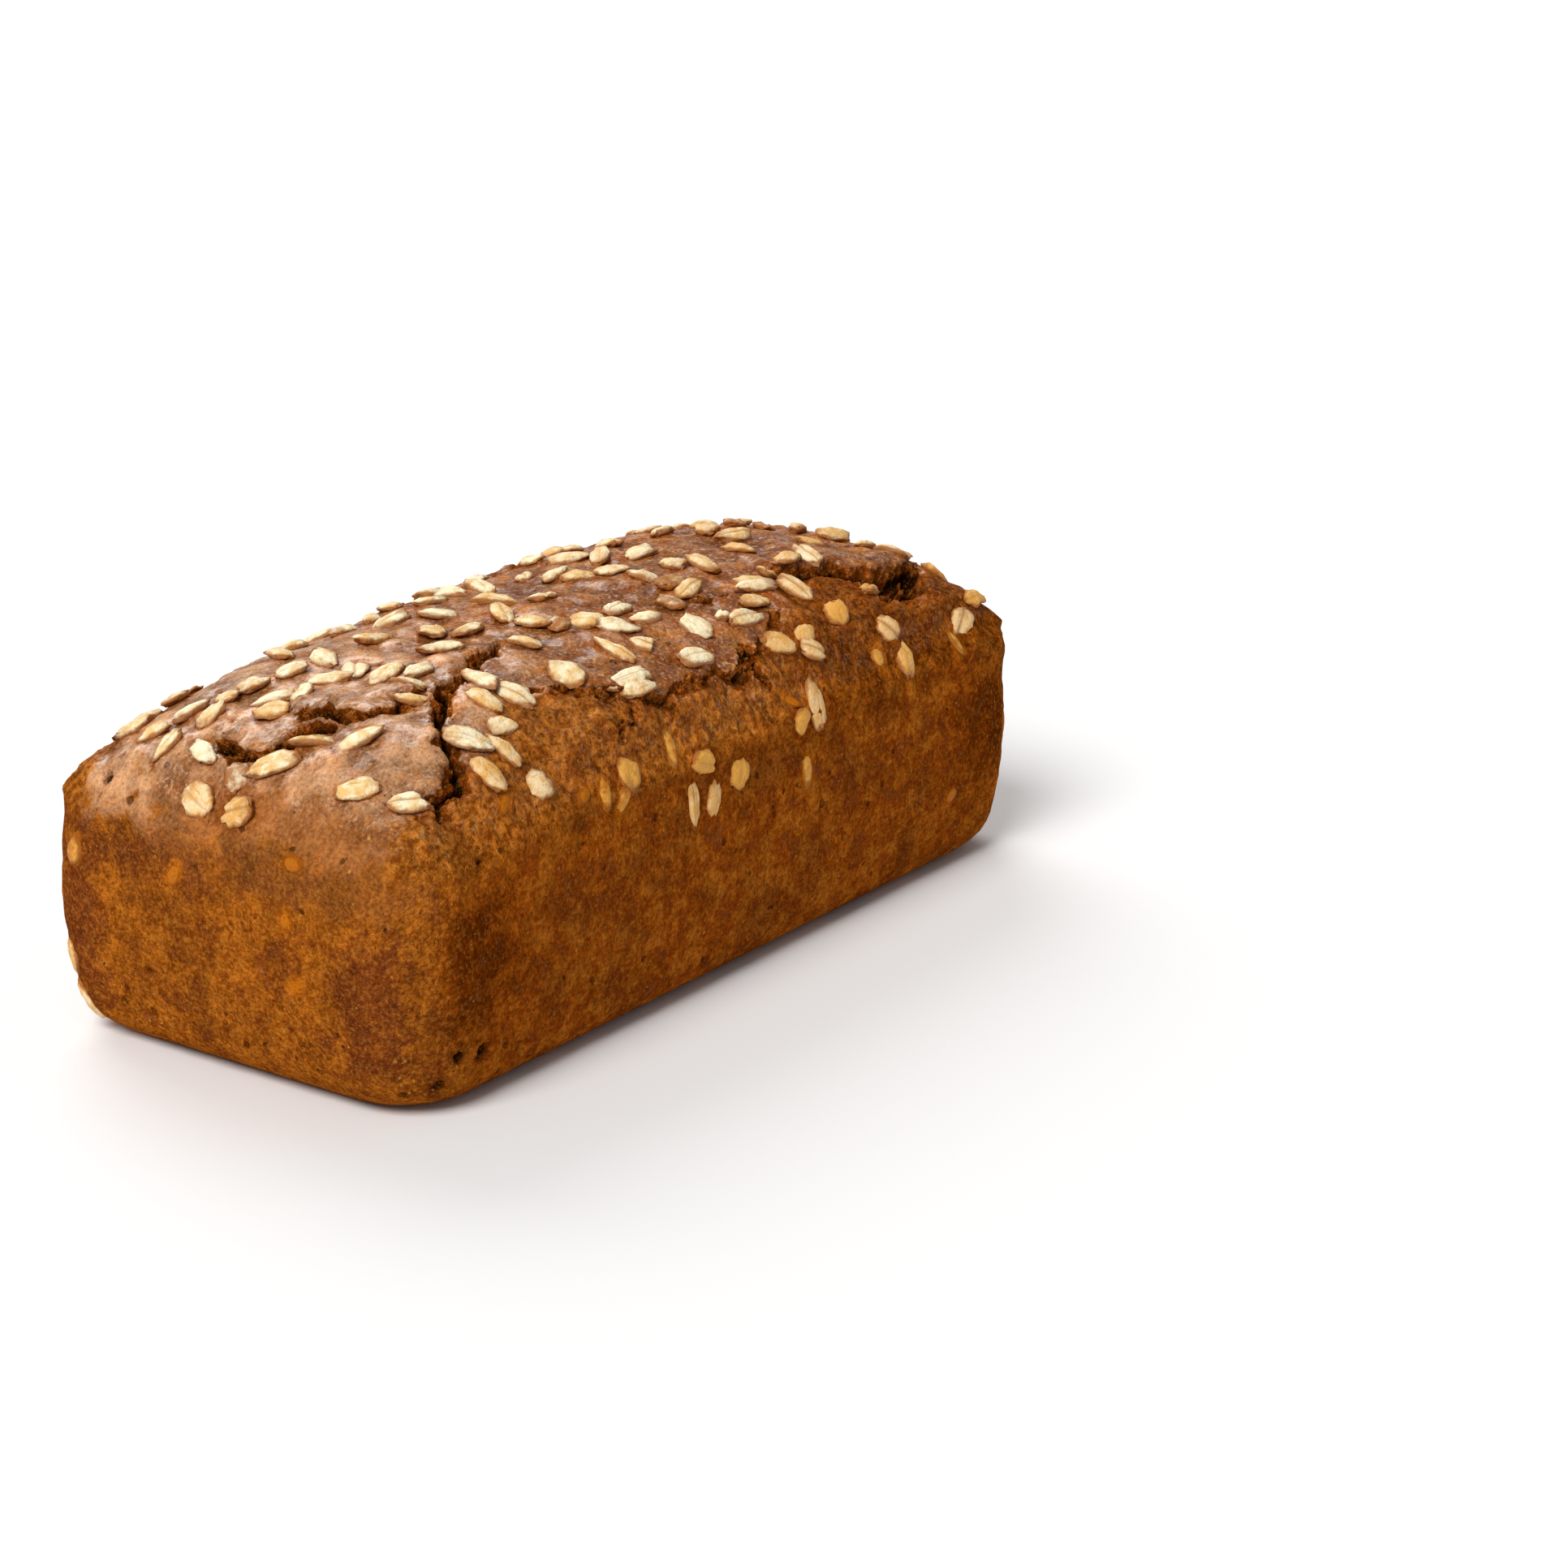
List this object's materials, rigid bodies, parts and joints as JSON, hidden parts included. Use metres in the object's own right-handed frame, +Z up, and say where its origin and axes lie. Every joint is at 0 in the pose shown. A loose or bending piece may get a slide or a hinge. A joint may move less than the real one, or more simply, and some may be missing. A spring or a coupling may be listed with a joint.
{
  "type": "sprouted barley bread loaf",
  "caption": "Whole wholegrain tin loaf with straight walls, a domed and split crown, and rolled barley flakes baked onto the crust.",
  "frame": {"origin": "middle of the flat base that the loaf stands on", "axes": "+X along the loaf's length, from the near end of the picture to the far end; +Y across it, away from the long side that the picture shows; +Z up"},
  "size_m": [0.2266, 0.1078, 0.081],
  "materials": {
    "crust": "matte",
    "flakes": "matte"
  },
  "bodies": {
    "root": {"loaf": "crust"}
  },
  "joints": []
}
